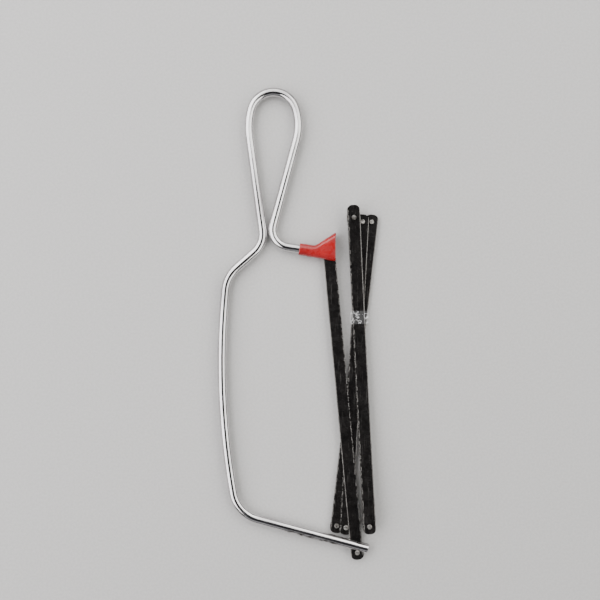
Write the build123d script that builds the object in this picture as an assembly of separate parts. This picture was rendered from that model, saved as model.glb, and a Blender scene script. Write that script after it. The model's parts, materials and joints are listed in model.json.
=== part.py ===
from build123d import *
import os
from math import asin, cos, degrees, radians, sin, tan

# A junior hacksaw lying flat, with its spare blades.
#
# One round rod is bent into a hanging loop, a spine and two arms. A pin-ended blade stretches
# between the slotted tips of the arms, a soft sleeve covers the rear arm and the blade's end, and
# spare blades, tied together, lie beside the blade and partly under it.
#
# Millimetres, +Z up. +Y runs from the front arm to the hanging loop, and the teeth of the fitted
# blade face +X. Everything is drawn from the fitted blade's front pin, at the height of the rod's
# axis. on_the_ground() then moves it, so that the origin is under the middle of the whole.

# ---- rod ----
ROD_DIAMETER = 4.5
TIP_CHAMFER = 0.5
REAR_HEADING = 171.43          # way the rear arm runs, from its tip to the neck
REAR_ARM = 19.9                # from the blade's pin to the first bend
REAR_TIP = 3.3                 # from the blade's pin to the end of the arm
FRONT_TIP = 5.0
REAR_NECK_RADIUS = 8.7
REAR_NECK_TURN = -96.55
REAR_LIMB = 43.1
REAR_SHOULDER_RADIUS = 27.6
REAR_SHOULDER_TURN = 32.9
CROWN_TURN = 147.6
FRONT_SHOULDER_RADIUS = 34.7
FRONT_SHOULDER_TURN = 22.45
FRONT_NECK_RADIUS = 12.1
FRONT_NECK_TURN = -56.45
NECK_LINK = 11.6
SPINE_ENTRY_RADIUS = 16.2
SPINE_ENTRY_TURN = 43.05
SPINE_TURN = 15.6
FRONT_BEND_RADIUS = 16.2
FRONT_BEND_TURN = 65.0
NECK_GAP = 0.85                # between the two limbs where the loop closes
NECK_DROP = 2.7                # the front limb ends this much lower than the rear limb

# ---- blades ----
PIN_SPAN = 150.0
BLADE_LEAN = 5.3               # fitted blade from +Y, towards the spine
BLADE_WIDTH = 6.3
BLADE_THICKNESS = 0.6
BLADE_CORNER = 2.6
END_LENGTH = 3.7               # strip beyond the middle of its pin
TOOTH_PITCH = 25.4 / 32
TOOTH_DEPTH = 0.5
TOOTH_RAKE = 0.2               # how far a gullet's deepest point lies behind the cutting face
TOOTH_START = 5.0              # plain strip before the first tooth
TIP_RELIEF = 0.04              # teeth stand this much lower than the plain ends
PIN_DIAMETER = 2.2
PIN_LENGTH = 3.6
PIN_CHAMFER = 0.2

# ---- blade in its frame ----
SEAT_DEPTH = 0.4               # notch in the outer side of an arm, where a pin rests
SEAT_CLEARANCE = 0.05
SLOT_SIDE_CLEARANCE = 0.15
SLOT_END_CLEARANCE = 0.5
RELEASE_SWING = 1.75           # turn about the front pin that takes the rear pin off its arm

# ---- sleeve on the rear arm ----
SLEEVE_WALL = 0.6
SLEEVE_CLEARANCE = 0.3
SLEEVE_MOUTH = 14.2            # from the rear pin back to the open end round the rod
SLEEVE_OVERHANG = 0.9          # past the end of the arm
SLEEVE_FLARE = 43.4            # slope of the edge that rises over the blade's end
SLEEVE_END_LEAN = 8.6          # lean of the wide end, back towards the mouth
SLEEVE_DROP = 0.5              # extra depth of the lower edge at the wide end
SLEEVE_ROUNDING = 0.8          # edge rounding, as a share of the sleeve's half thickness
SLIT_CLEARANCE = 0.5

# ---- spare blades ----
STACK_GAP = 0.02
PIN_SLACK = 0.35               # from a spare's pin to the strip above or below it, at the ends
PASSING_CLEARANCE = 0.15       # between the fitted blade and the spares under it
PIN_PLAY = 0.3                 # from a spare's pin to the edge of the strip beside it
UPPER_CLEARANCE = 1.1          # from the swung blade's teeth to the nearest spare, at the upper end
LOWER_CLEARANCE = 0.3          # the same at the lower end
ARM_CLEARANCE = 1.0            # from the front arm to the spares' lower ends
TOP_SLIDE = 5.2                # of the spares on top, whose pins stand beside each other
# Each spare: its column at the upper end, its column at the lower end, and how far it is slid up.
# Lower column 0 is beside the fitted blade's teeth; 1 and 2 are behind its back, reached under it.
SPARES = [(2, 2, 0.0), (1, 1, 0.5), (0, 0, TOP_SLIDE), (0, 0, TOP_SLIDE + PIN_DIAMETER + PIN_PLAY),
          (0, 0, TOP_SLIDE)]

# ---- tie round the spares ----
TIE_HEIGHT = 115.0             # above the front pin
TIE_WIDTH = 6.4
TIE_WALL = 0.25
TIE_CLEARANCE = 0.1

ROD_RADIUS = ROD_DIAMETER / 2
PIN_RADIUS = PIN_DIAMETER / 2
HALF_WIDTH = BLADE_WIDTH / 2
HALF_THICKNESS = BLADE_THICKNESS / 2
PIN_OFFSET = ROD_RADIUS + PIN_RADIUS - SEAT_DEPTH
SLEEVE_RADIUS = ROD_RADIUS + SLEEVE_CLEARANCE + SLEEVE_WALL
STACK_STEP = BLADE_THICKNESS + STACK_GAP
PIN_STEP = PIN_LENGTH / 2 + HALF_THICKNESS + PIN_SLACK


def toward(heading):
    """Unit vector in the plane of the saw, at a heading in degrees from +X."""
    return Vector(cos(radians(heading)), sin(radians(heading)))


def span_of(heading, turn):
    """Where a straight run of length 1, or a bend of radius 1, ends from its start."""
    if turn == 0:
        return toward(heading)
    side = 90 if turn > 0 else -90
    return toward(heading + side) - toward(heading + turn + side)


def closing_sizes(runs, heading, gap):
    """The two sizes left open (None) in a chain of runs, so that the chain spans the gap."""
    open_spans = []
    for size, turn in runs:
        span = span_of(heading, turn)
        heading += turn
        if size is None:
            open_spans.append(span)
        else:
            gap -= span * size
    a, b = open_spans
    area = a.X * b.Y - a.Y * b.X
    return (gap.X * b.Y - gap.Y * b.X) / area, (a.X * gap.Y - a.Y * gap.X) / area


def with_sizes(runs, sizes):
    """The same runs, with their open sizes filled in."""
    remaining = list(sizes)
    return [(remaining.pop(0) if size is None else size, turn) for size, turn in runs]


def rod_runs():
    """Lengths and radii of the rod, with the turn of each, from the rear pin to the front pin."""
    loop = [(REAR_LIMB, 0), (REAR_SHOULDER_RADIUS, REAR_SHOULDER_TURN), (None, CROWN_TURN),
            (FRONT_SHOULDER_RADIUS, FRONT_SHOULDER_TURN), (None, 0)]
    neck_step = Vector(-(ROD_DIAMETER + NECK_GAP), -NECK_DROP)
    loop = with_sizes(loop, closing_sizes(loop, REAR_HEADING + REAR_NECK_TURN, neck_step))
    runs = [(REAR_ARM, 0), (REAR_NECK_RADIUS, REAR_NECK_TURN), *loop,
            (FRONT_NECK_RADIUS, FRONT_NECK_TURN), (NECK_LINK, 0),
            (SPINE_ENTRY_RADIUS, SPINE_ENTRY_TURN), (None, SPINE_TURN),
            (FRONT_BEND_RADIUS, FRONT_BEND_TURN), (None, 0)]
    gap = front_foot(runs) - rear_foot()
    return with_sizes(runs, closing_sizes(runs, REAR_HEADING, gap))


def front_heading(runs):
    """Way the front arm runs, towards its tip."""
    return REAR_HEADING + sum(turn for _, turn in runs)


def rear_pin_place():
    """Middle of the fitted blade's rear pin."""
    return toward(90 + BLADE_LEAN) * PIN_SPAN


def rear_foot():
    """Point of the rear arm's axis under the rear pin."""
    return rear_pin_place() + toward(REAR_HEADING + 90) * PIN_OFFSET


def front_foot(runs):
    """Point of the front arm's axis over the front pin."""
    return toward(front_heading(runs) + 90) * PIN_OFFSET


def rod_path(runs):
    """Axis of the whole rod, from tip to tip."""
    heading = REAR_HEADING
    place = rear_foot() - toward(heading) * REAR_TIP
    last_length, last_turn = runs[-1]
    stretched = [(runs[0][0] + REAR_TIP, 0), *runs[1:-1], (last_length + FRONT_TIP, last_turn)]
    edges = []
    for size, turn in stretched:
        end = place + span_of(heading, turn) * size
        if turn == 0:
            edges.append(Line(place, end))
        else:
            middle = place + span_of(heading, turn / 2) * size
            edges.append(ThreePointArc(place, middle, end))
        place = end
        heading += turn
    return Wire(edges)


def rear_arm():
    """Frame on the rear arm under its pin: X runs to the tip of the arm, Y towards the pin."""
    return Plane(origin=rear_foot(), x_dir=-toward(REAR_HEADING), z_dir=(0, 0, 1))


def front_arm(runs):
    """The same on the front arm, whose pin is on its other side."""
    return Plane(origin=front_foot(runs), x_dir=toward(front_heading(runs)), z_dir=(0, 0, -1))


def rear_lean():
    """Angle at which the blade leaves the rear pin, from square to the arm and towards its tip."""
    return BLADE_LEAN - (REAR_HEADING - 180)


def front_lean(runs):
    """The same at the front pin, where the blade leans away from the tip."""
    return front_heading(runs) - 360 - BLADE_LEAN


def arm_cut(arm, tip, lean):
    """Saw cut in the tip of an arm, for the blade, and the notch that its pin rests in."""
    near_side = PIN_OFFSET - ROD_RADIUS if lean > 0 else PIN_OFFSET + ROD_RADIUS
    depth = HALF_WIDTH / cos(radians(lean)) - near_side * tan(radians(lean)) + SLOT_END_CLEARANCE
    length = depth + tip + ROD_RADIUS
    width = BLADE_THICKNESS + 2 * SLOT_SIDE_CLEARANCE
    slot = Pos(length / 2 - depth, 0, 0) * Box(length, 2 * ROD_DIAMETER, width)
    seat_radius = PIN_RADIUS + SEAT_CLEARANCE
    seat = Pos(0, PIN_OFFSET, 0) * Cylinder(seat_radius, 2 * ROD_DIAMETER)
    cut = slot + seat
    if lean > 0:
        way_out = Box(tip + PIN_DIAMETER, 2 * seat_radius, 2 * ROD_DIAMETER,
                      align=(Align.MIN, Align.CENTER, Align.CENTER))
        cut += Pos(0, PIN_OFFSET, 0) * Rot(0, 0, lean) * way_out
    return arm * cut


def frame_rod():
    """The bent rod, with chamfered, slotted and notched tips."""
    runs = rod_runs()
    path = rod_path(runs)
    section = Plane(origin=path @ 0, z_dir=path % 0) * Circle(ROD_RADIUS)
    rod = sweep(section, path=path)
    ends = rod.faces().filter_by(GeomType.PLANE)
    rod = chamfer(ends.edges(), TIP_CHAMFER)
    rod -= arm_cut(rear_arm(), REAR_TIP, rear_lean())
    rod -= arm_cut(front_arm(runs), FRONT_TIP, front_lean(runs))
    return rod


def blade_face():
    """Toothed outline of a blade: front pin at the origin, rear pin up +Y, teeth towards +X."""
    length = PIN_SPAN + 2 * END_LENGTH
    plain = Pos(0, PIN_SPAN / 2) * RectangleRounded(BLADE_WIDTH, length, BLADE_CORNER)
    first = TOOTH_START - END_LENGTH
    count = int((length - 2 * TOOTH_START) / TOOTH_PITCH)
    tip = HALF_WIDTH - TIP_RELIEF
    root = tip - TOOTH_DEPTH
    points = [(BLADE_WIDTH, first), (tip, first)]
    for tooth in range(count):
        base = first + tooth * TOOTH_PITCH
        points.append((root, base + TOOTH_RAKE * TOOTH_PITCH))
        points.append((tip, base + TOOTH_PITCH))
    points.append((BLADE_WIDTH, first + count * TOOTH_PITCH))
    return plain - make_face(Polyline(*points, close=True))


def blade_pin():
    """Round pin with chamfered ends, standing across the strip."""
    pin = Cylinder(PIN_RADIUS, PIN_LENGTH)
    return chamfer(pin.edges().filter_by(GeomType.CIRCLE), PIN_CHAMFER)


def flat_strip():
    """Toothed strip at its middle height, without its pin holes."""
    return extrude(blade_face(), HALF_THICKNESS, both=True)


def bowed_strip(middle, rise):
    """Toothed strip that lies flat at one point of its length and rises to both pins."""
    lower_end, upper_end = -END_LENGTH - BLADE_THICKNESS, PIN_SPAN + END_LENGTH + BLADE_THICKNESS
    edges = []
    for side in (-HALF_THICKNESS, HALF_THICKNESS):
        low = bow_height(lower_end, middle, rise) + side
        high = bow_height(upper_end, middle, rise) + side
        edges.append(TangentArc((middle, side), (lower_end, low), tangent=(-1, 0)))
        edges.append(TangentArc((middle, side), (upper_end, high), tangent=(1, 0)))
    edges.append(Line(edges[0] @ 1, edges[2] @ 1))
    edges.append(Line(edges[1] @ 1, edges[3] @ 1))
    side_view = Plane(origin=(0, 0, 0), x_dir=(0, 1, 0), z_dir=(1, 0, 0))
    slab = extrude(side_view * make_face(edges), BLADE_WIDTH, both=True)
    top = max(bow_height(lower_end, middle, rise), bow_height(upper_end, middle, rise))
    return extrude(blade_face(), top + BLADE_THICKNESS, both=True) & slab


def bow_height(place, middle, rise):
    """Height of a bowed strip at a place along it, when it rises by rise at each pin."""
    reach = PIN_SPAN - middle if place > middle else middle
    return rise * ((place - middle) / reach) ** 2


def bow_slope(place, middle, rise):
    """Slope of a bowed strip at one of its pins, in degrees."""
    reach = PIN_SPAN - middle if place > middle else middle
    return degrees(2 * rise / reach) * (1 if place > middle else -1)


def fitted_blade():
    """Strip and two pins of the blade in the frame, as (strip, front pin, rear pin)."""
    place = Rot(0, 0, BLADE_LEAN)
    front_pin = place * blade_pin()
    rear_pin = place * Pos(0, PIN_SPAN, 0) * blade_pin()
    strip = place * flat_strip() - front_pin - rear_pin
    return strip, front_pin, rear_pin


def sleeve_form(inset, extra):
    """Solid of the sleeve's outline, moved inwards by inset, and longer at both ends by extra."""
    lean = radians(rear_lean())
    slope = radians(SLEEVE_FLARE)
    radius = SLEEVE_RADIUS - inset
    mouth = -SLEEVE_MOUTH - extra
    end = REAR_TIP + SLEEVE_OVERHANG + extra
    corner = (Vector(0, PIN_OFFSET) - Vector(cos(lean), sin(lean)) * (HALF_WIDTH - BLADE_CORNER)
              + Vector(-sin(lean), cos(lean)) * (END_LENGTH - BLADE_CORNER))
    offset = (Vector(-sin(slope), cos(slope)).dot(corner) + BLADE_CORNER
              + SLEEVE_CLEARANCE + SLEEVE_WALL - inset)
    flare = (radius * cos(slope) - offset) / sin(slope)
    bottom = -radius - SLEEVE_DROP
    setback = tan(radians(SLEEVE_END_LEAN))
    top = ((offset + (end + bottom * setback) * sin(slope))
           / (cos(slope) + setback * sin(slope)))
    points = [(mouth, -radius), (end, bottom), (end - (top - bottom) * setback, top),
              (flare, radius), (mouth, radius)]
    outline = make_face(Polyline(*points, close=True))
    solid = extrude(outline, radius, both=True)
    sides = solid.faces().sort_by(Axis.Z)
    long_edges = (sides[0].edges() + sides[-1].edges()).filter_by(Axis.Y, reverse=True)
    return fillet(long_edges, radius * SLEEVE_ROUNDING)


def rear_arm_sleeve():
    """Soft sleeve: a round mouth on the rod, wider over the blade's end, slit for the blade."""
    lean = radians(rear_lean())
    below = PIN_OFFSET + SLEEVE_RADIUS
    back_edge = below * tan(lean) - HALF_WIDTH / cos(lean) - SLIT_CLEARANCE
    slit = Pos(back_edge, -ROD_RADIUS, 0) * Box(
        SLEEVE_MOUTH, 2 * SLEEVE_RADIUS, BLADE_THICKNESS + 2 * SLIT_CLEARANCE,
        align=(Align.MIN, Align.MAX, Align.CENTER))
    return rear_arm() * (sleeve_form(0, 0) - sleeve_form(SLEEVE_WALL, SLEEVE_WALL) - slit)


def blade_edge(height, side, swing):
    """X of the fitted blade's teeth (side 1) or back (side -1) at a height, swung by swing."""
    lean = radians(BLADE_LEAN - swing)
    return side * HALF_WIDTH / cos(lean) - height * tan(lean)


def spare_places():
    """For each spare, its lower pin and its lean from +Y."""
    runs = rod_runs()
    fall = tan(radians(360 - front_heading(runs)))
    arm_top = front_foot(runs) + toward(front_heading(runs) + 90) * ROD_RADIUS
    pitch = HALF_WIDTH + PIN_RADIUS + PIN_PLAY
    places = []
    for upper, lower, slide in SPARES:
        row = arm_top.Y + ARM_CLEARANCE + END_LENGTH
        if lower == 0:
            low_x = blade_edge(row + slide, 1, RELEASE_SWING) + LOWER_CLEARANCE + HALF_WIDTH
        else:
            low_x = blade_edge(row, -1, 0) - PIN_PLAY - PIN_RADIUS - (lower - 1) * pitch
        low_y = row + (arm_top.X - low_x) * fall + slide
        first_x = blade_edge(PIN_SPAN, 1, RELEASE_SWING) + UPPER_CLEARANCE + HALF_WIDTH
        lean = degrees(asin((low_x - first_x - upper * pitch) / PIN_SPAN))
        places.append((Vector(low_x, low_y), lean))
    return places


def spare_levels():
    """Heights of the spares at the tie, and at their pins, each resting on those under it."""
    lowest = -(2 * STACK_STEP + PASSING_CLEARANCE - STACK_GAP)
    at_tie = [lowest + index * STACK_STEP for index in range(len(SPARES))]
    at_pins = []
    for index, spare in enumerate(SPARES):
        level = at_tie[index]
        for below in range(index):
            if SPARES[below][:2] == spare[:2]:
                level = max(level, at_pins[below] + PIN_STEP)
        at_pins.append(level)
    return at_tie, at_pins


def spare_blades():
    """Strips and pins of the spares, as a list of (strip, lower pin, upper pin)."""
    at_tie, at_pins = spare_levels()
    spares = []
    for (low, lean), tie_level, pin_level in zip(spare_places(), at_tie, at_pins):
        place = Pos(low.X, low.Y, tie_level) * Rot(0, 0, lean)
        middle = (TIE_HEIGHT - low.Y) / cos(radians(lean))
        rise = pin_level - tie_level
        strip = bowed_strip(middle, rise) if rise else flat_strip()
        pins = []
        for along in (0, PIN_SPAN):
            tilt = Rot(bow_slope(along, middle, rise), 0, 0)
            pins.append(place * Pos(0, along, rise) * tilt * blade_pin())
        strip = place * mirror(strip, about=Plane.YZ)
        spares.append((strip - pins[0] - pins[1], *pins))
    return spares


def spare_tie():
    """Band of clear film that holds the spares together."""
    sides = []
    for low, lean in spare_places():
        for edge in (-1, 1):
            height = TIE_HEIGHT + edge * TIE_WIDTH / 2
            middle = low.X - (height - low.Y) * tan(radians(lean))
            half = HALF_WIDTH / cos(radians(lean))
            sides += [middle - half, middle + half]
    at_tie, _ = spare_levels()
    left, right = min(sides) - TIE_CLEARANCE, max(sides) + TIE_CLEARANCE
    low, high = (at_tie[0] - HALF_THICKNESS - TIE_CLEARANCE,
                 at_tie[-1] + HALF_THICKNESS + TIE_CLEARANCE)
    middle = Pos((left + right) / 2, TIE_HEIGHT, (low + high) / 2)
    hollow = Box(right - left, TIE_WIDTH, high - low)
    outside = Box(right - left + 2 * TIE_WALL, TIE_WIDTH, high - low + 2 * TIE_WALL)
    outside = fillet(outside.edges().filter_by(Axis.Y), 2 * TIE_WALL)
    return middle * (outside - hollow)


def all_pieces():
    """Every piece by its name, from the drawing's datum."""
    strip, front_pin, rear_pin = fitted_blade()
    pieces = {
        "frame_rod": frame_rod(),
        "fitted_blade": strip,
        "fitted_front_pin": front_pin,
        "fitted_rear_pin": rear_pin,
        "rear_arm_sleeve": rear_arm_sleeve(),
        "spare_tie": spare_tie(),
    }
    for number, (spare, lower_pin, upper_pin) in enumerate(spare_blades(), 1):
        pieces[f"spare_blade_{number}"] = spare
        pieces[f"spare_{number}_lower_pin"] = lower_pin
        pieces[f"spare_{number}_upper_pin"] = upper_pin
    return pieces


def on_the_ground(pieces):
    """The pieces, moved so that the origin is under the middle of the whole, on the ground."""
    box = Compound(list(pieces.values())).bounding_box()
    middle = box.center()
    shift = Pos(-middle.X, -middle.Y, -box.min.Z)
    return {name: shift * piece for name, piece in pieces.items()}, shift


def main():
    os.makedirs("parts", exist_ok=True)
    placed, shift = on_the_ground(all_pieces())
    for name, piece in placed.items():
        export_step(piece, f"parts/{name}.step")
    print("drawing datum from the origin", shift.position)


main()
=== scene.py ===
import json
import math

import bpy
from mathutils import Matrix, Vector, noise


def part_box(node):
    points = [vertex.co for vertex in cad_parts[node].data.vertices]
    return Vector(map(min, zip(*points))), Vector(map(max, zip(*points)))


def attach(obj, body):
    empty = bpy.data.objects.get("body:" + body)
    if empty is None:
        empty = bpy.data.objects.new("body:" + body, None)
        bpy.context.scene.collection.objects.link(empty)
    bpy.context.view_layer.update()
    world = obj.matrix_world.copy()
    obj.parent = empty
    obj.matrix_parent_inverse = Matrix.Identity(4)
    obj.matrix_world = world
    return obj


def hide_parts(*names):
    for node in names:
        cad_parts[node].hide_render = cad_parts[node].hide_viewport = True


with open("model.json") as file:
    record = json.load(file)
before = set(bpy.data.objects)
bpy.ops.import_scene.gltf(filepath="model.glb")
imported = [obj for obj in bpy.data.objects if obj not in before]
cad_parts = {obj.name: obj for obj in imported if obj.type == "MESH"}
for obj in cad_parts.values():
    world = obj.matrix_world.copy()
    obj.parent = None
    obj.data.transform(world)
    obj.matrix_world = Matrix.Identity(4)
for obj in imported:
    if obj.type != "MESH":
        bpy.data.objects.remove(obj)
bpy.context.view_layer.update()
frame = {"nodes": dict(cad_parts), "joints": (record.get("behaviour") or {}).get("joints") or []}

# A junior hacksaw with its spare blades, lying on a pale table, seen from straight above.
# Metres. The frame's nodes keep their shape; the sleeve and the tie get soft meshes here.

NODES = frame["nodes"]

VIEW_WIDTH = 0.294                      # of the picture, at the rod's level
VIEW_HEIGHT = 0.43                      # of the camera above the rod
CAMERA_ASIDE = (-0.0280, 0.1235)        # from the fitted blade's front pin
HALF_BLADE = 0.00315
GLINT_PITCH = 0.00556                   # between the painted glints along the teeth
ARM_UP = Vector((0.258, 0.966, 0.0))    # square to the front arm
ARM_ALONG = Vector((-0.966, 0.258, 0.0))
PIN_TO_ARM = 0.00295                    # from the front pin to the arm's axis
SLEEVE_SLOPE = math.tan(math.radians(43.4))
SLEEVE_WALL = 0.00055
SLIT_REACH = 0.0038                     # of the slit, from the rear pin back to the mouth
SLIT_HALF_GAP = 0.0008
TIE_CORNER = 0.0006
TIE_INSET = 0.00015                     # keeps the folds inside the CAD band


# ---- camera ----

def add_camera():
    """Straight above the saw, with the hanging loop at the top of the picture."""
    rod_low, rod_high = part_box("frame_rod")
    level = (rod_low.z + rod_high.z) / 2
    data = bpy.data.cameras.new("camera")
    data.lens = data.sensor_width * VIEW_HEIGHT / VIEW_WIDTH
    data.clip_start = 0.01
    camera = bpy.data.objects.new("camera", data)
    bpy.context.scene.collection.objects.link(camera)
    pin_low, pin_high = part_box("fitted_front_pin")
    pin = (pin_low + pin_high) / 2
    aside_x, aside_y = CAMERA_ASIDE
    camera.location = (pin.x + aside_x, pin.y + aside_y, level + VIEW_HEIGHT)
    bpy.context.scene.camera = camera


add_camera()


# ---- node helpers ----

class Paint:
    """A material and short calls to wire it."""

    def __init__(self, name, **values):
        self.material = bpy.data.materials.new(name)
        self.material.use_nodes = True
        self.tree = self.material.node_tree
        self.shader = self.tree.nodes["Principled BSDF"]
        for key, value in values.items():
            self.shader.inputs[key.replace("_", " ")].default_value = value
        self.place = self.add("ShaderNodeTexCoord").outputs["Object"]

    def add(self, kind, inputs=(), **settings):
        made = self.tree.nodes.new(kind)
        for key, value in settings.items():
            setattr(made, key, value)
        for key, value in dict(inputs).items():
            self.feed(made.inputs[key], value)
        return made

    def feed(self, socket, value):
        if isinstance(value, bpy.types.NodeSocket):
            self.tree.links.new(value, socket)
        else:
            socket.default_value = value

    def set(self, name, value):
        self.feed(self.shader.inputs[name], value)

    def math(self, operation, a, b=0.0, clamp=False):
        made = self.add("ShaderNodeMath", {0: a, 1: b}, operation=operation, use_clamp=clamp)
        return made.outputs[0]

    def noise(self, scale, detail=3.0, rough=0.55, place=None):
        made = self.add("ShaderNodeTexNoise", {"Vector": place or self.place, "Scale": scale,
                                               "Detail": detail, "Roughness": rough})
        return made.outputs["Fac"]

    def speck(self, scale, place=None):
        made = self.add("ShaderNodeTexVoronoi", {"Vector": place or self.place, "Scale": scale})
        return made.outputs["Distance"]

    def ramp(self, value, low, high, start=0.0, end=1.0, smooth=True):
        made = self.add("ShaderNodeMapRange", {"Value": value, "From Min": low, "From Max": high,
                                               "To Min": start, "To Max": end})
        made.interpolation_type = "SMOOTHSTEP" if smooth else "LINEAR"
        return made.outputs["Result"]

    def mix(self, share, a, b):
        made = self.add("ShaderNodeMix", data_type="RGBA")
        self.feed(made.inputs[0], share)
        self.feed(made.inputs[6], a)
        self.feed(made.inputs[7], b)
        return made.outputs[2]

    def split(self, vector):
        return self.add("ShaderNodeSeparateXYZ", {0: vector}).outputs

    def bump(self, height, strength, distance):
        made = self.add("ShaderNodeBump", {"Strength": strength, "Distance": distance,
                                           "Height": height})
        self.feed(self.shader.inputs["Normal"], made.outputs["Normal"])

    def stretched(self, scale, turn=0.0):
        made = self.add("ShaderNodeMapping", {"Vector": self.place, "Scale": scale,
                                              "Rotation": (0, 0, turn)})
        return made.outputs["Vector"]

    def near(self, point, inner, outer):
        """1 within inner of a point, falling to 0 at outer."""
        made = self.add("ShaderNodeVectorMath", {0: self.place, 1: point}, operation="DISTANCE")
        return self.ramp(made.outputs["Value"], inner, outer, 1.0, 0.0)


def rgb(red, green, blue):
    return (red, green, blue, 1.0)


# ---- materials ----

def plating():
    """Bright plating with faint drawing marks, pits, and dark chips where the rod has rubbed."""
    paint = Paint("rod_plating", Metallic=1.0)
    clouds = paint.noise(45.0, 4.0)
    tone = paint.mix(paint.ramp(clouds, 0.35, 0.68), rgb(0.70, 0.69, 0.69), rgb(0.50, 0.485, 0.49))
    pits = paint.ramp(paint.speck(900.0), 0.07, 0.13, 1.0, 0.0)
    thin = paint.ramp(paint.noise(160.0, 3.0), 0.53, 0.62)
    pits = paint.math("MULTIPLY", pits, thin)
    rod_low, rod_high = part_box("frame_rod")
    pin = centre("fitted_front_pin")
    axis = pin + ARM_UP * PIN_TO_ARM
    arm = paint.near(tuple(axis + ARM_ALONG * 0.023), 0.010, 0.017)
    beside = paint.add("ShaderNodeVectorMath", {0: paint.place, 1: tuple(ARM_UP)},
                       operation="DOT_PRODUCT").outputs["Value"]
    under = paint.ramp(beside, axis.dot(ARM_UP) - 0.0010, axis.dot(ARM_UP) - 0.0002, 1.0, 0.0)
    arm = paint.math("MULTIPLY", arm, under)
    crown = paint.near(((rod_low.x + rod_high.x) / 2 + 0.021, rod_high.y - 0.002, rod_high.z),
                       0.004, 0.012)
    worn = paint.math("MAXIMUM", arm, paint.math("MULTIPLY", crown, 0.8))
    long_way = paint.stretched((330.0, 800.0, 800.0), 0.26)
    chips = paint.ramp(paint.noise(1.0, 5.0, 0.62, long_way), 0.46, 0.52)
    chips = paint.math("MULTIPLY", chips, worn)
    marks = paint.math("MAXIMUM", chips, paint.math("MULTIPLY", pits, 0.75))
    paint.set("Base Color", paint.mix(marks, tone, rgb(0.05, 0.046, 0.043)))
    rough = paint.ramp(paint.noise(130.0, 4.0), 0.3, 0.75, 0.07, 0.20)
    paint.set("Roughness", paint.math("ADD", rough, paint.math("MULTIPLY", marks, 0.4), True))
    height = paint.math("ADD", paint.noise(600.0, 3.0),
                        paint.math("MULTIPLY", marks, -1.5))
    paint.bump(height, 0.2, 0.00005)
    return paint.material


def blade_paint(number, foot, turn, half_width):
    """Dark enamel with an unpainted toothed edge, sides bared by grinding, and scuffs.
    Steel-coloured spots, evenly spaced along the teeth, are painted glints, and a steel band
    along the back edge is a painted edge highlight. foot is on the blade's middle line, turn
    its heading, and half_width the way from there to the teeth."""
    paint = Paint("blade_enamel_%d" % number)
    paint.set("Specular IOR Level", 0.2)
    local = paint.add("ShaderNodeMapping", {"Vector": paint.place, "Location": foot,
                                            "Rotation": (0, 0, turn)}, vector_type="TEXTURE")
    across, along, _ = paint.split(local.outputs["Vector"])
    mottle = paint.noise(260.0, 4.0, 0.6)
    enamel = paint.mix(paint.ramp(mottle, 0.3, 0.7), rgb(0.0035, 0.0032, 0.0032),
                       rgb(0.0090, 0.0082, 0.0080))
    streaks = paint.noise(1.0, 3.0, 0.6, paint.stretched((2600.0, 90.0, 900.0), -turn))
    scuff = paint.ramp(streaks, 0.60, 0.72, 0.0, 0.55)
    _, _, facing = paint.split(paint.add("ShaderNodeNewGeometry").outputs["Normal"])
    side = paint.ramp(paint.math("ABSOLUTE", facing), 0.35, 0.6, 1.0, 0.0)
    toward_teeth = paint.math("MULTIPLY", across, 1.0 if half_width > 0 else -1.0)
    reach = abs(half_width)
    teeth_wear_and_glints = paint.ramp(toward_teeth, reach - 0.0009, reach - 0.0005)
    # painted glints: steel-coloured spots at an even pitch along the teeth, where the light would
    # catch the wavy set
    glint_wave = paint.math("COSINE", paint.math("MULTIPLY", along, 2 * math.pi / GLINT_PITCH))
    patches_and_glints = paint.ramp(paint.noise(700.0, 3.0), 0.42, 0.6, 0.0, 0.18)
    patches_and_glints = paint.math("MAXIMUM", patches_and_glints, paint.ramp(glint_wave, 0.45, 0.85))
    teeth_wear_and_glints = paint.math("MULTIPLY", teeth_wear_and_glints, patches_and_glints)
    # painted edge highlight: a thin steel-coloured band along the back edge, in place of the light
    # on its rounded edge
    back = paint.ramp(toward_teeth, 0.00042 - reach, 0.00022 - reach)
    edge_highlight_strength = paint.ramp(paint.noise(230.0, 3.0), 0.36, 0.58, 0.35, 0.9)
    bare_and_highlights = paint.math("MAXIMUM", paint.math("MULTIPLY", side, 0.85),
                      paint.math("MAXIMUM", teeth_wear_and_glints, paint.math("MULTIPLY", back, edge_highlight_strength)))
    bare_and_highlights = paint.math("MAXIMUM", bare_and_highlights, paint.math("MULTIPLY", scuff, 0.10))
    paint.set("Base Color", paint.mix(bare_and_highlights, enamel, rgb(0.62, 0.60, 0.57)))
    paint.set("Metallic", bare_and_highlights)
    rough = paint.ramp(paint.noise(500.0, 3.0), 0.3, 0.7, 0.20, 0.30)
    paint.set("Roughness", paint.math("SUBTRACT", rough, paint.math("MULTIPLY", bare_and_highlights, 0.06)))
    paint.bump(paint.math("ADD", mottle, scuff), 0.12, 0.00003)
    return paint.material


def pin_steel():
    """Turned steel, with fine rings and a little dark oxide."""
    paint = Paint("pin_steel", Metallic=1.0)
    grain = paint.noise(900.0, 3.0)
    stain = paint.ramp(paint.noise(420.0, 3.0), 0.45, 0.65)
    paint.set("Base Color", paint.mix(stain, rgb(0.50, 0.485, 0.46), rgb(0.24, 0.225, 0.21)))
    paint.set("Roughness", paint.ramp(grain, 0.3, 0.7, 0.24, 0.44))
    paint.bump(grain, 0.3, 0.00003)
    return paint.material


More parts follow.
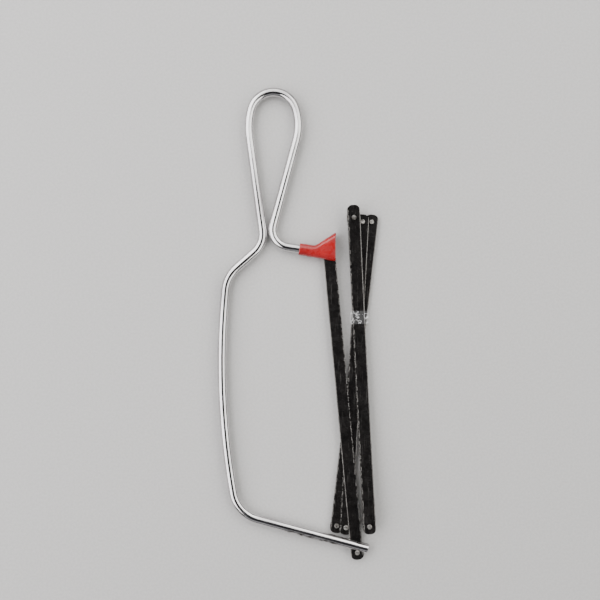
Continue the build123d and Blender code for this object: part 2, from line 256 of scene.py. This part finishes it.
def red_plastic():
    """Soft glossy red plastic, scuffed and a little uneven in colour."""
    paint = Paint("red_sleeve", Coat_Weight=0.5, Coat_Roughness=0.05, IOR=1.45)
    clouds = paint.noise(140.0, 3.0)
    tone = paint.mix(paint.ramp(clouds, 0.3, 0.7), rgb(0.31, 0.0085, 0.0090),
                     rgb(0.23, 0.0045, 0.0055))
    dust = paint.ramp(paint.noise(1500.0, 3.0), 0.64, 0.72, 0.0, 0.12)
    paint.set("Base Color", paint.mix(dust, tone, rgb(0.85, 0.42, 0.38)))
    paint.set("Roughness", paint.ramp(paint.noise(500.0, 3.0), 0.3, 0.7, 0.20, 0.38))
    waves = paint.noise(320.0, 2.0)
    paint.bump(waves, 0.2, 0.00010)
    return paint.material


def film():
    """Clear crumpled film, whiter and less clear along its crease lines, which are painted
    highlights.
    """
    paint = Paint("clear_film", Roughness=0.08, IOR=1.46)
    paint.set("Base Color", rgb(0.93, 0.94, 0.95))
    creases = paint.noise(300.0, 3.0, 0.5)
    lines = paint.ramp(paint.speck(420.0), 0.0, 0.5)
    height = paint.math("ADD", creases, lines)
    paint.bump(height, 0.9, 0.00025)
    crease_highlight = paint.math("ABSOLUTE", paint.math("SUBTRACT", creases, 0.5))
    # painted highlights: the film turns whiter and less clear along the crease lines
    paint.set("Alpha", paint.ramp(crease_highlight, 0.006, 0.032, 0.42, 0.04))
    return paint.material


# ---- places ----

def centre(name):
    low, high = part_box(name)
    return (low + high) / 2


def lean_of(start, end):
    """Turn about Z that takes +Y onto the way from start to end."""
    way = end - start
    return math.atan2(-way.x, way.y)


def give(name, material):
    for slot in NODES[name].material_slots:
        slot.material = material


# ---- sleeve ----

def sleeve_points():
    """The sleeve's own directions and outline, read from its CAD node."""
    slide = next(j for j in frame["joints"] if j["name"] == "sleeve_slide")
    along = -Vector(slide["axis"]).normalized()
    across = Vector((-along.y, along.x, 0.0))
    low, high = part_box("rear_arm_sleeve")
    middle = (low + high) / 2
    flat = [(v.co.dot(along), v.co.dot(across)) for v in NODES["rear_arm_sleeve"].data.vertices]
    mouth, end = min(u for u, _ in flat), max(u for u, _ in flat)
    at_mouth = [v for u, v in flat if u < mouth + 0.0003]
    foot = min(flat, key=lambda point: point[1])
    top = max(flat, key=lambda point: point[1])
    return {"along": along, "across": across, "level": middle.z, "half": (high.z - low.z) / 2,
            "mouth": mouth, "end": end, "mouth_v": (min(at_mouth), max(at_mouth)),
            "foot": foot, "top": top, "lean": (foot[0] - top[0]) / (top[1] - foot[1])}


def soft_max(a, b, width):
    """Maximum of two numbers, rounded over a width."""
    gap = a - b
    return (a + b + math.sqrt(gap * gap + width * width)) / 2 - width / 2


def row_lean(shape, share):
    """How far a row of the sleeve leans back, from square at the mouth to the end's own cut."""
    ease = max(0.0, (share - 0.35) / 0.65)
    return shape["lean"] * ease * ease * (3 - 2 * ease)


def sleeve_section(shape, u, count):
    """Points (v, z) round the sleeve at u, from the upper lip of its slit to the lower lip."""
    low0, high0 = shape["mouth_v"]
    share = (u - shape["mouth"]) / (shape["end"] - shape["mouth"])
    low = low0 + (shape["foot"][1] - low0) * share
    lean = row_lean(shape, share)
    top_u, top_v = shape["top"]
    rising = (top_v + (u + low * lean - top_u) * SLEEVE_SLOPE) / (1 + lean * SLEEVE_SLOPE)
    high = soft_max(high0, rising, 0.0006)
    half = shape["half"] * (1 - 0.04 * math.sin(math.pi * share))
    corner = 0.84 * half
    v_mid, v_half = (low + high) / 2, (high - low) / 2
    lip = SLIT_HALF_GAP if u > shape["slit"] else 0.0
    points = []
    straight_v, straight_z = 2 * (v_half - corner), 2 * (half - corner)
    arc = corner * math.pi / 2
    total = 2 * straight_v + 2 * straight_z + 4 * arc
    for index in range(count):
        run = lip + (total - 2 * lip) * index / (count - 1)
        points.append(round_box(run, v_mid, v_half, half, corner, straight_v, straight_z, arc))
    return points


def round_box(run, v_mid, v_half, half, corner, straight_v, straight_z, arc):
    """A point at a run along a rounded rectangle, from the middle of its lower side, +Z first."""
    sides = [(straight_z / 2, None), (arc, 0), (straight_v, None), (arc, 1), (straight_z, None),
             (arc, 2), (straight_v, None), (arc, 3), (straight_z / 2, None)]
    v, z, heading = v_mid - v_half, 0.0, math.pi / 2
    for length, turn in sides:
        step = min(run, length)
        run -= step
        if turn is None:
            v, z = v + step * math.cos(heading), z + step * math.sin(heading)
        else:
            angle = step / corner
            v += corner * (math.sin(heading) - math.sin(heading - angle))
            z += corner * (math.cos(heading - angle) - math.cos(heading))
            heading -= angle
        if run <= 1e-9:
            break
    return v, z


def smooth_mesh(name, verts, faces):
    mesh = bpy.data.meshes.new(name)
    mesh.from_pydata([tuple(v) for v in verts], [], faces)
    mesh.validate()
    mesh.update()
    for face in mesh.polygons:
        face.use_smooth = True
    made = bpy.data.objects.new(name, mesh)
    bpy.context.scene.collection.objects.link(made)
    return made


def ripple(point, scale, seed):
    return noise.noise(Vector(point) * scale + Vector((seed, seed * 2.0, seed * 3.0)))


def make_sleeve(material):
    """A soft tube, round where it grips the rod and flat and wide over the blade's end."""
    shape = sleeve_points()
    pin = centre("fitted_rear_pin")
    shape["slit"] = pin.dot(shape["along"]) - SLIT_REACH
    v_mid = sum(shape["mouth_v"]) / 2
    rows, count = 46, 72
    verts = []
    for row in range(rows):
        share = row / (rows - 1)
        u = shape["mouth"] + (shape["end"] - shape["mouth"]) * share
        for v, z in sleeve_section(shape, u, count):
            sag = ripple((u, v, z), 260.0, 4.0) * 0.00013 - 0.00013
            grow = 1.0 + sag / shape["half"]
            v_now = v_mid + (v - v_mid) * grow
            u_now = u - (v_now - shape["foot"][1]) * row_lean(shape, share)
            verts.append(shape["along"] * u_now + shape["across"] * v_now
                         + Vector((0, 0, shape["level"] + z * grow)))
    faces = []
    for row in range(rows - 1):
        for index in range(count - 1):
            a = row * count + index
            faces.append((a, a + count, a + count + 1, a + 1))
    sleeve = smooth_mesh("sleeve_skin", verts, faces)
    weld = sleeve.modifiers.new("weld", "WELD")
    weld.merge_threshold = 0.00002
    wall = sleeve.modifiers.new("wall", "SOLIDIFY")
    wall.thickness = SLEEVE_WALL
    wall.offset = -1.0
    wall.use_even_offset = False
    sleeve.data.materials.append(material)
    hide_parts("rear_arm_sleeve")
    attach(sleeve, "sleeve")


# ---- tie ----

def make_tie(material):
    """A band of crumpled film round the spares."""
    low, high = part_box("spare_tie")
    middle, half = (low + high) / 2, (high - low) / 2
    corner = TIE_CORNER
    rows, count = 27, 220
    straight_x, straight_z = 2 * (half.x - corner), 2 * (half.z - corner)
    arc = corner * math.pi / 2
    total = 2 * straight_x + 2 * straight_z + 4 * arc
    verts = []
    for row in range(rows):
        y = low.y + 2 * half.y * row / (rows - 1)
        for index in range(count):
            run = total * index / count
            x, z = round_box(run, 0.0, half.x, half.z, corner, straight_x, straight_z, arc)
            fold = ripple((x * 2.2, y * 0.6, z), 900.0, 7.0) + 0.6 * ripple((x, y, z), 2100.0, 3.0)
            inward = TIE_INSET + 0.00013 * max(-1.0, min(1.0, fold))
            edge = 1.0 - abs(2 * row / (rows - 1) - 1)
            fray = 0.0004 * (ripple((x, 0.0, z), 700.0, 9.0) + 0.5) if edge < 0.3 else 0.0
            y_now = y + (middle.y - y) * max(0.0, fray) * 90.0
            verts.append(Vector((middle.x + x * (1 - inward / half.x), y_now,
                                 middle.z + z * (1 - inward / half.z))))
    faces = []
    for row in range(rows - 1):
        for index in range(count):
            a, b = row * count + index, row * count + (index + 1) % count
            faces.append((a, b, b + count, a + count))
    tie = smooth_mesh("tie_film", verts, faces)
    tie.data.materials.append(material)
    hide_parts("spare_tie")
    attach(tie, "spare_pack")


# ---- room ----

def add_floor():
    side = 3.0
    mesh = bpy.data.meshes.new("floor")
    mesh.from_pydata([(-side, -side, 0), (side, -side, 0), (side, side, 0), (-side, side, 0)],
                     [], [(0, 1, 2, 3)])
    floor = bpy.data.objects.new("floor", mesh)
    bpy.context.scene.collection.objects.link(floor)
    floor.location.z = -0.00005
    paint = Paint("floor_paint", Roughness=0.85)
    fine = paint.noise(900.0, 2.0)
    paint.set("Base Color", paint.mix(paint.ramp(fine, 0.3, 0.7), rgb(0.46, 0.455, 0.448),
                                      rgb(0.42, 0.415, 0.41)))
    floor.data.materials.append(paint.material)


def add_light(name, place, width, depth, power, tint):
    data = bpy.data.lights.new(name, "AREA")
    data.shape = "RECTANGLE"
    data.size, data.size_y = width, depth
    data.energy = power
    data.color = tint
    light = bpy.data.objects.new(name, data)
    bpy.context.scene.collection.objects.link(light)
    light.location = place
    light.rotation_euler = (-Vector(place)).to_track_quat("-Z", "Y").to_euler()


def add_lights():
    """Long soft boxes at both sides leave a narrow dark gap overhead, which the rod shows as a
    thin line between two bright bands. A box beyond the loop lights the arms."""
    add_light("left_box", (-0.48, 0.06, 0.45), 1.30, 0.66, 12.0, (1.0, 0.985, 0.995))
    add_light("right_box", (0.48, 0.06, 0.45), 1.30, 0.50, 6.5, (1.0, 0.99, 0.955))
    add_light("head_box", (0.0, 0.62, 0.62), 0.90, 1.05, 7.5, (1.0, 0.99, 0.98))
    add_light("foot_box", (0.0, -0.75, 0.45), 0.90, 0.40, 0.5, (0.97, 0.98, 1.0))
    world = bpy.data.worlds.new("room")
    world.use_nodes = True
    world.node_tree.nodes["Background"].inputs["Color"].default_value = (0.30, 0.29, 0.32, 1)
    world.node_tree.nodes["Background"].inputs["Strength"].default_value = 0.12
    bpy.context.scene.world = world


# ---- make ----

def dress():
    """Materials of the CAD nodes."""
    give("frame_rod", plating())
    steel = pin_steel()
    for name in NODES:
        if name.endswith("_pin"):
            give(name, steel)
    blades = [("fitted_blade", "fitted_front_pin", "fitted_rear_pin", 1.0)]
    for name in sorted(n for n in NODES if n.startswith("spare_blade_")):
        mark = name.rsplit("_", 1)[1]
        blades.append((name, f"spare_{mark}_lower_pin", f"spare_{mark}_upper_pin", -1.0))
    for number, (name, lower, upper, side) in enumerate(blades):
        foot, head = centre(lower), centre(upper)
        give(name, blade_paint(number, tuple(foot), lean_of(foot, head), side * HALF_BLADE))


dress()
make_sleeve(red_plastic())
make_tie(film())
add_floor()
add_lights()
